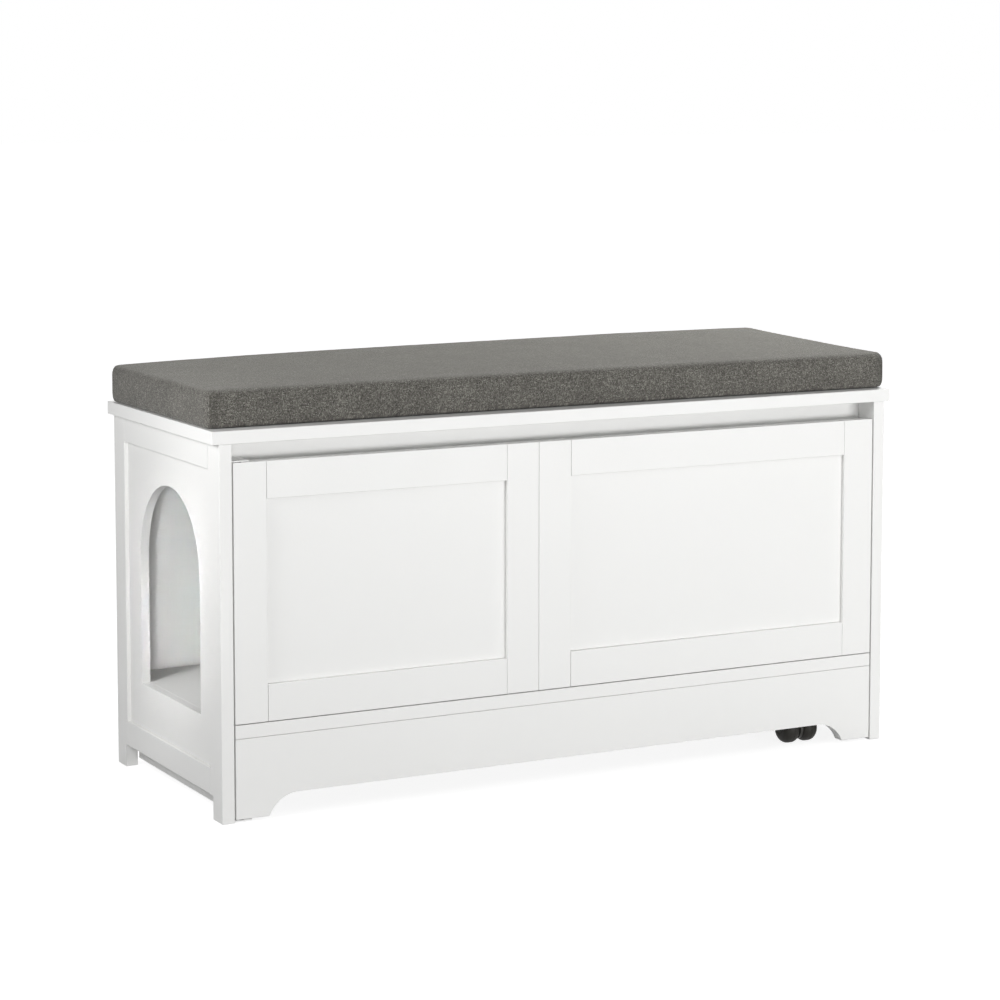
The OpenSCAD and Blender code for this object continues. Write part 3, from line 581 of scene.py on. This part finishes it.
for slotName, values in metals.items():
    finishes[slotName] = metalMaterial(*values)
finishes["dowel_wood"] = woodMaterial("bareBeech")
for nodeName, node in cadNodes.items():
    if slotOf[nodeName] in finishes:
        node.data.materials.clear()
        node.data.materials.append(finishes[slotOf[nodeName]])
print("materials made:", len(finishes))

# painted boards and hardware with softly rounded edges

edges = {
    "boardRound": 0.00042,
    "steps": 2,
    "sharpest": 28.0,
    "flatWithin": 0.5,
    "weld": 0.000002,
    "slit": 0.00045,
    "nearEnd": 0.00005,
    "flatWeight": 100,
}
hardware = {
    # node: rounding of its edges
    "castor_housing": 0.0005,
    "castor_plate": 0.0003,
    "top_pivot_bracket": 0.0003,
    "bottom_pivot_bracket": 0.0003,
    "joining_plates": 0.0003,
    "strike_plate": 0.00025,
    "catch_body": 0.0004,
    "catch_magnet": 0.0003,
}


def shortenRail(piece, nodeName, axis):
    # both ends stand back by a hair, so that the butt joints read as fine dark lines
    low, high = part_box(nodeName)
    for vertex in piece.data.vertices:
        if vertex.co[axis] < low[axis] + edges["nearEnd"]:
            vertex.co[axis] += edges["slit"]
        elif vertex.co[axis] > high[axis] - edges["nearEnd"]:
            vertex.co[axis] -= edges["slit"]


def roundedCopy(nodeName, width, railAxis=None):
    # merged copy of a CAD node, with its edges rounded off
    piece = bpy.data.objects.new(camelName(nodeName), cadNodes[nodeName].data.copy())
    bpy.context.scene.collection.objects.link(piece)
    makeActive(piece)
    bpy.ops.object.mode_set(mode="EDIT")
    bpy.ops.mesh.select_all(action="SELECT")
    bpy.ops.mesh.remove_doubles(threshold=edges["weld"])
    bpy.ops.mesh.dissolve_limited(angle_limit=math.radians(edges["flatWithin"]))
    bpy.ops.object.mode_set(mode="OBJECT")
    if railAxis is not None:
        shortenRail(piece, nodeName, railAxis)
    bevel = piece.modifiers.new("round", "BEVEL")
    bevel.width = width
    bevel.segments = edges["steps"]
    bevel.limit_method = "ANGLE"
    bevel.angle_limit = math.radians(edges["sharpest"])
    bevel.harden_normals = False
    flat = piece.modifiers.new("flat", "WEIGHTED_NORMAL")
    flat.weight = edges["flatWeight"]
    flat.keep_sharp = False
    bpy.ops.object.shade_smooth()
    applyModifiers(piece)
    return piece


def railAxisOf(nodeName):
    # rails of the front run along X, those of the side frames along Y
    if nodeName.endswith("_rail"):
        if nodeName.startswith("door_"):
            return 0
        if nodeName.startswith(("left_", "right_")):
            return 1
    return None


def roundedBoards():
    for nodeName in sorted(cadNodes):
        if slotOf[nodeName] == "white_paint":
            piece = roundedCopy(nodeName, edges["boardRound"], railAxisOf(nodeName))
            finishPiece(piece, nodeName, finishes["white_paint"])


def roundedHardware():
    for nodeName, width in hardware.items():
        piece = roundedCopy(nodeName, width)
        finishPiece(piece, nodeName, finishes[slotOf[nodeName]])


roundedBoards()
roundedHardware()
print("boards and hardware rounded")

# castor wheels

wheel = {
    "innerRound": 0.0090,
    "outerRound": 0.0110,
    "roundSteps": 7,
    "bore": 0.0026,
    "boreDepth": 0.0224,
    "ease": 0.0004,
    "hubRim": 0.0056,
    "dishEdge": 0.0100,
    "dishSlope": 0.0005,
    "dish": 0.0011,
    "groove": 0.0003,
    "grooveWide": 0.0007,
    "grooveSlope": 0.0001,
    "capRadius": 0.0058,
    "capDish": 0.0006,
    "capRingOuter": 0.0016,
    "capRingFloor": 0.0012,
    "capRingInner": 0.0003,
    "capDrop": 0.0001,
    "capRound": 0.0008,
    "turns": 72,
    "weld": 0.00001,
    "sharpest": 35.0,
}


def arcPoints(centre, radius, start, end, steps):
    points = []
    for step in range(steps + 1):
        angle = math.radians(start + (end - start) * step / steps)
        points.append((centre[0] + radius * math.cos(angle), centre[1] + radius * math.sin(angle)))
    return points


def wheelProfile(radius, width):
    # (distance from the axle, distance from the inner face), from the bore's end round to the outer face
    innerRound, outerRound = wheel["innerRound"], wheel["outerRound"]
    tread = (innerRound + width - outerRound) / 2
    half = wheel["grooveWide"] / 2
    grooveFloor = radius - wheel["groove"]
    capFloor = width - wheel["capDish"]
    profile = [
        (0.0, wheel["boreDepth"]),
        (wheel["bore"], wheel["boreDepth"]),
        (wheel["bore"], wheel["ease"]),
        (wheel["bore"] + wheel["ease"], 0.0),
        (wheel["hubRim"], 0.0),
        (wheel["hubRim"] + wheel["ease"], wheel["dish"]),
        (wheel["dishEdge"], wheel["dish"]),
        (wheel["dishEdge"] + wheel["dishSlope"], 0.0),
    ]
    profile += arcPoints((radius - innerRound, innerRound), innerRound, -90, 0, wheel["roundSteps"])
    profile += [
        (radius, tread - half),
        (grooveFloor, tread - half + wheel["grooveSlope"]),
        (grooveFloor, tread + half - wheel["grooveSlope"]),
        (radius, tread + half),
    ]
    profile += arcPoints((radius - outerRound, width - outerRound), outerRound, 0, 90, wheel["roundSteps"])
    profile += [
        (wheel["capRadius"] + wheel["capRingOuter"], width),
        (wheel["capRadius"] + wheel["capRingFloor"], capFloor),
        (wheel["capRadius"] + wheel["capRingInner"], capFloor),
        (wheel["capRadius"], width - wheel["capDrop"]),
        (wheel["capRadius"] - wheel["capRound"], width),
        (0.0, width),
    ]
    return profile


def makeWheel(nodeName, side):
    # turned about the axle, its outer face to the left (-1) or to the right (1)
    low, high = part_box(nodeName)
    centre = (low + high) / 2
    inner = low.x if side > 0 else high.x
    profile = wheelProfile((high.z - low.z) / 2, high.x - low.x)
    points = [(inner + side * along, centre.y, centre.z + out) for out, along in profile]
    mesh = bpy.data.meshes.new(camelName(nodeName))
    mesh.from_pydata(points, [(index, index + 1) for index in range(len(points) - 1)], [])
    piece = bpy.data.objects.new(camelName(nodeName), mesh)
    bpy.context.scene.collection.objects.link(piece)
    makeActive(piece)
    bpy.ops.object.mode_set(mode="EDIT")
    bpy.ops.mesh.select_all(action="SELECT")
    bpy.ops.mesh.spin(steps=wheel["turns"], angle=math.tau, center=centre, axis=(1, 0, 0))
    bpy.ops.mesh.select_all(action="SELECT")
    bpy.ops.mesh.remove_doubles(threshold=wheel["weld"])
    bpy.ops.mesh.normals_make_consistent(inside=False)
    bpy.ops.object.mode_set(mode="OBJECT")
    bpy.ops.object.shade_smooth_by_angle(angle=math.radians(wheel["sharpest"]))
    finishPiece(piece, nodeName, finishes["wheel_tread"])


makeWheel("left_wheel", -1)
makeWheel("right_wheel", 1)
print("castor wheels made")

# seat cushion

cushion = {
    # block
    "corner": 0.009,
    "cornerSteps": 5,
    "topRoll": 0.0065,
    "topSteps": 4,
    "footRoll": 0.004,
    "footSteps": 3,
    "level": 0.0001,
    "voxel": 0.006,
    # filling
    "pressure": 4.0,
    "stiffness": 25,
    "quality": 4,
    "frames": 20,
    "cap": 0.003,
    "pinned": 0.008,
    "free": 0.040,
    "flatFoot": 0.001,
    # form
    "crown": 0.005,
    "crownShare": 0.6,
    "rearRise": 0.0035,
    "rightRise": 0.0080,
    "rearPower": 1.5,
    "over": 0.006,
    "bow": 0.008,
    "bowAside": 0.15,
    "bowSpread": 1.2,
    "bowPower": 0.7,
    "wander": 0.0004,
    "wanderScale": 9.0,
    "wanderFine": 31.0,
    "fineShare": 0.4,
    "footFade": 0.006,
    # cloth
    "pitch": 0.0011,
    "dark": (0.046, 0.044, 0.038),
    "middle": (0.150, 0.143, 0.127),
    "light": (0.42, 0.41, 0.365),
    "bump": 0.0004,
    "roughDip": 0.95,
    "roughBack": 0.82,
    "shine": 0.2,
    "sheen": 0.18,
    "sheenRough": 0.45,
    # painted light: the top of the cloth is paler, mixed towards the light yarn colour
    "topTone": 0.32,
    "topStart": 0.004,
    "topFull": 0.001,
    # painted shade: the cloth darkens towards its foot on the board
    "footTone": 0.16,
    "footStart": 0.001,
    "footBand": 0.020,
}
seam = {
    # welt and tuck in the shape
    "welt": 0.0009,
    "weltSpread": 0.0026,
    "tuckDepth": 0.0011,
    "tuckAside": 0.0062,
    "tuckSpread": 0.0034,
    "below": 0.003,
    "fade": 0.008,
    "inward": 0.014,
    "inwardFade": 0.006,
    # sewn line and shade in the cloth
    "line": 0.0016,
    "lineHeight": 0.0010,
    "lineStart": 0.004,
    "lineFull": 0.009,
    "lineOutside": 0.016,
    "lineInside": 0.010,
    # painted shade: a dark band on the long side beside each corner seam
    "shade": 0.30,
    "shadeStart": 0.0004,
    "shadeFull": 0.0012,
    "shadeEven": 0.45,
    "shadeWidth": 0.013,
}
diagonal = math.sqrt(0.5)
cornerReach = cushion["corner"] * (1 - diagonal)


def cushionBlank(low, high):
    # block with rounded corners, up to the height of its side walls
    centre = (low + high) / 2
    size = high - low
    wall = size.z - cushion["crown"]
    level = cushion["level"]
    bpy.ops.mesh.primitive_cube_add(size=1, location=(centre.x, centre.y, low.z + wall / 2))
    piece = bpy.context.object
    piece.name = "seatCushion"
    piece.scale = (size.x, size.y, wall)
    placeInMesh(piece)
    bpy.ops.object.mode_set(mode="EDIT")
    selectEdges(piece, lambda a, b: abs(a.z - b.z) > wall / 2)
    bpy.ops.mesh.bevel(offset=cushion["corner"], segments=cushion["cornerSteps"])
    selectEdges(piece, lambda a, b: min(a.z, b.z) > centre.z and abs(a.z - b.z) < level)
    bpy.ops.mesh.bevel(offset=cushion["topRoll"], segments=cushion["topSteps"])
    selectEdges(piece, lambda a, b: max(a.z, b.z) < low.z + cushion["footRoll"] and abs(a.z - b.z) < level)
    bpy.ops.mesh.bevel(offset=cushion["footRoll"], segments=cushion["footSteps"])
    bpy.ops.object.mode_set(mode="OBJECT")
    return piece


def pointsOf(piece):
    flat = np.empty(len(piece.data.vertices) * 3)
    piece.data.vertices.foreach_get("co", flat)
    return flat.reshape(-1, 3)


def setPoints(piece, points):
    piece.data.vertices.foreach_set("co", points.astype(np.float32).ravel())
    piece.data.update()


def holdRims(piece):
    # the sewn edges and the underside hold still, and the middles of the faces are free
    points = pointsOf(piece)
    low, high = points.min(axis=0), points.max(axis=0)
    inside = np.sort(np.minimum(points - low, high - points), axis=1)
    held = np.clip((cushion["free"] - inside[:, 1]) / (cushion["free"] - cushion["pinned"]), 0.0, 1.0)
    held[points[:, 2] < low[2] + cushion["flatFoot"]] = 1.0
    group = piece.vertex_groups.new(name="rims")
    for index, weight in enumerate(held):
        group.add([index], float(weight), "REPLACE")


def puffOut(piece):
    # cloth under a little pressure, no point moving further than the cap
    before = pointsOf(piece)
    holdRims(piece)
    cloth = piece.modifiers.new("puff", "CLOTH")
    cloth.settings.quality = cushion["quality"]
    cloth.settings.use_pressure = True
    cloth.settings.uniform_pressure_force = cushion["pressure"]
    cloth.settings.effector_weights.gravity = 0.0
    cloth.settings.tension_stiffness = cushion["stiffness"]
    cloth.settings.compression_stiffness = cushion["stiffness"]
    cloth.settings.vertex_group_mass = "rims"
    for step in range(1, cushion["frames"] + 1):
        bpy.context.scene.frame_set(step)
    depsgraph = bpy.context.evaluated_depsgraph_get()
    swollen = piece.evaluated_get(depsgraph).to_mesh()
    flat = np.empty(len(swollen.vertices) * 3)
    swollen.vertices.foreach_get("co", flat)
    after = flat.reshape(-1, 3).copy()
    piece.modifiers.remove(cloth)
    bpy.context.scene.frame_set(1)
    move = after - before
    far = np.linalg.norm(move, axis=1)
    print("cushion moves at most", round(float(far.max()) * 1000, 1), "mm before the cap")
    setPoints(piece, before + move * np.minimum(1.0, cushion["cap"] / np.maximum(far, 1e-9))[:, None])
    piece.vertex_groups.clear()


def unevenness(point):
    broad = noise.noise(Vector(point) * cushion["wanderScale"])
    return broad + cushion["fineShare"] * noise.noise(Vector(point) * cushion["wanderFine"])


def shapeCushion(piece, low, high):
    # crown over the top, fuller to the rear and the right, lower front edge drawn in, slightly uneven
    normals = np.array([tuple(vertex.normal) for vertex in piece.data.vertices])
    points = pointsOf(piece)
    middle, half = np.array((low + high) / 2), np.array((high - low) / 2)
    rim = high.z - cushion["crown"]
    away = (points - middle) / half
    level = np.clip((points[:, 2] - low.z) / (rim - low.z), 0.0, 1.0)
    overWidth = 1 - away[:, 0] ** 4
    points[:, 2] += cushion["crownShare"] * cushion["crown"] * overWidth * (1 - away[:, 1] ** 2) * level ** 2
    toRear = np.clip((away[:, 1] + 1) / 2, 0.0, 1.0) ** cushion["rearPower"]
    rise = cushion["rearRise"] * overWidth + cushion["rightRise"] * (away[:, 0] + 1) / 2
    points[:, 2] += rise * toRear * level ** 2
    toFront = np.clip(-away[:, 1], 0.0, 1.0) ** 2
    along = np.clip(1 - (away[:, 0] + cushion["bowAside"]) ** 2 / cushion["bowSpread"], 0.0, 1.0)
    points[:, 1] += cushion["bow"] * toFront * along * (1 - level) ** cushion["bowPower"]
    swell = np.array([unevenness(point) for point in points])
    offFoot = np.clip((points[:, 2] - low.z) / cushion["footFade"], 0.0, 1.0)
    points += normals * (swell * cushion["wander"] * offFoot)[:, None]
    setPoints(piece, np.clip(points, np.array(low), np.array(high) + np.array((0, 0, cushion["over"]))))


def raiseSeams(piece, low, high):
    # a low welt up each corner, and beside it the tuck of the long side
    points = pointsOf(piece)
    middle, half = np.array((low + high) / 2), np.array((high - low) / 2)
    beyond = np.abs(points - middle) - (half - cornerReach)
    aside = (beyond[:, 0] - beyond[:, 1]) * diagonal
    outward = (beyond[:, 0] + beyond[:, 1]) * diagonal
    wallTop = high.z - cushion["crown"] - seam["below"]
    onWall = np.clip((wallTop - points[:, 2]) / seam["fade"], 0.0, 1.0)
    onWall *= np.clip((points[:, 2] - low.z) / cushion["footFade"], 0.0, 1.0)
    nearby = onWall * np.clip((outward + seam["inward"]) / seam["inwardFade"], 0.0, 1.0)
    welt = seam["welt"] * np.exp(-(aside / seam["weltSpread"]) ** 2)
    tuck = seam["tuckDepth"] * np.exp(-((aside + seam["tuckAside"]) / seam["tuckSpread"]) ** 2)
    corner = np.sign(points[:, :2] - middle[:2]) * diagonal
    points[:, :2] += corner * ((welt - tuck) * nearby)[:, None]
    setPoints(piece, points)


def clothUv(piece, low, high):
    # one cloth over the top, its front and back hanging along Y and its ends along X, cut at the corners
    mesh = piece.data
    layer = mesh.uv_layers.new(name="clothUv")
    rim = high.z - cushion["crown"]
    middle = (low + high) / 2
    for face in mesh.polygons:
        onEnd = abs(face.normal.x) > abs(face.normal.y)
        for corner in face.loop_indices:
            point = mesh.vertices[mesh.loops[corner].vertex_index].co
            drop = max(0.0, rim - point.z)
            u, v = point.x, point.y
            if onEnd:
                u += math.copysign(drop, face.center.x - middle.x)
            else:
                v += math.copysign(drop, face.center.y - middle.y)
            layer.data[corner].uv = (u, v)


def seamMasks(tree, place, low, high):
    # at the four upright corners: the sewn line, and beside it the band of the long side's tuck, where shade
    # is painted
    middle = (low + high) / 2
    half = (high - low) / 2
    rim = high.z - cushion["crown"]
    parts = partsOf(tree, place)
    beyond = []
    for axis in (0, 1):
        distance = calc(tree, "ABSOLUTE", minus(tree, parts[axis], middle[axis]))
        beyond.append(minus(tree, distance, half[axis] - cornerReach))
    aside = times(tree, minus(tree, *beyond), diagonal)
    outward = times(tree, plus(tree, *beyond), diagonal)
    onWall = remap(tree, parts[2], rim - seam["lineStart"], rim - seam["lineFull"], 0.0, 1.0)
    nearby = times(tree, onWall, remap(tree, outward, -seam["lineOutside"], -seam["lineInside"], 0.0, 1.0))
    line = remap(tree, calc(tree, "ABSOLUTE", aside), 0.0, seam["line"], 1.0, 0.0)
    begun = remap(tree, aside, -seam["shadeStart"], -seam["shadeFull"], 0.0, 1.0)
    evenTo = seam["shadeEven"] * seam["shadeWidth"]
    ended = remap(tree, aside, -evenTo, -seam["shadeWidth"], 1.0, 0.0)
    return times(tree, line, nearby), times(tree, times(tree, begun, ended), onWall)


def weaveMaterial(name, low, high):
    # slubby yarns on the piece's own UV map in metres, with painted light making the top paler and painted
    # shade making it darker beside the seams and at the foot
    material, tree, shader, place = emptyMaterial(name)
    finish = newNode(tree, "ShaderNodeGroup", node_tree=weaveGroup())
    feed(tree, finish.inputs["Vector"], newNode(tree, "ShaderNodeUVMap", uv_map="clothUv").outputs[0])
    finish.inputs["Pitch"].default_value = cushion["pitch"]
    finish.inputs["Dark"].default_value = (*cushion["dark"], 1)
    finish.inputs["Middle"].default_value = (*cushion["middle"], 1)
    finish.inputs["Light"].default_value = (*cushion["light"], 1)
    line, tuck = seamMasks(tree, place, low, high)
    height = partsOf(tree, place)[2]
    rim = high.z - cushion["crown"]
    # painted light: the cloth turns paler over the top
    topLightShare = remap(tree, height, rim - cushion["topStart"], rim + cushion["topFull"], 0.0, cushion["topTone"])
    # painted shade: darker towards the foot, where the cushion sits on the board
    footShadeShare = remap(tree, height, low.z + cushion["footStart"], low.z + cushion["footBand"],
                 cushion["footTone"], 0.0)
    # painted shade beside the corner seams and the painted foot shade darken the cloth
    shade = calc(tree, "MAXIMUM", times(tree, tuck, seam["shade"]), footShadeShare)
    topLitColour = mixed(tree, "RGBA", topLightShare, finish.outputs["Colour"], (*cushion["light"], 1))
    rough = remap(tree, finish.outputs["Height"], 0.0, 1.0, cushion["roughDip"], cushion["roughBack"])
    feed(tree, shader.inputs["Base Color"], mixed(tree, "RGBA", shade, topLitColour, (*cushion["dark"], 1)))
    feed(tree, shader.inputs["Roughness"], rough)
    ridge = bumped(tree, line, seam["lineHeight"])
    feed(tree, shader.inputs["Normal"], bumped(tree, finish.outputs["Height"], cushion["bump"], ridge))
    shader.inputs["Sheen Weight"].default_value = cushion["sheen"]
    shader.inputs["Sheen Roughness"].default_value = cushion["sheenRough"]
    shader.inputs["Specular IOR Level"].default_value = cushion["shine"]
    return material


def makeCushion():
    low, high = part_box("cushion")
    piece = cushionBlank(low, high)
    remesh = piece.modifiers.new("skin", "REMESH")
    remesh.mode = "VOXEL"
    remesh.voxel_size = cushion["voxel"]
    applyModifiers(piece)
    puffOut(piece)
    finer = piece.modifiers.new("finer", "SUBSURF")
    finer.levels = 1
    finer.render_levels = 1
    applyModifiers(piece)
    shapeCushion(piece, low, high)
    raiseSeams(piece, low, high)
    clothUv(piece, low, high)
    makeActive(piece)
    bpy.ops.object.shade_smooth()
    finishPiece(piece, "cushion", weaveMaterial("greyWeave", low, high))


makeCushion()
print("cushion made")
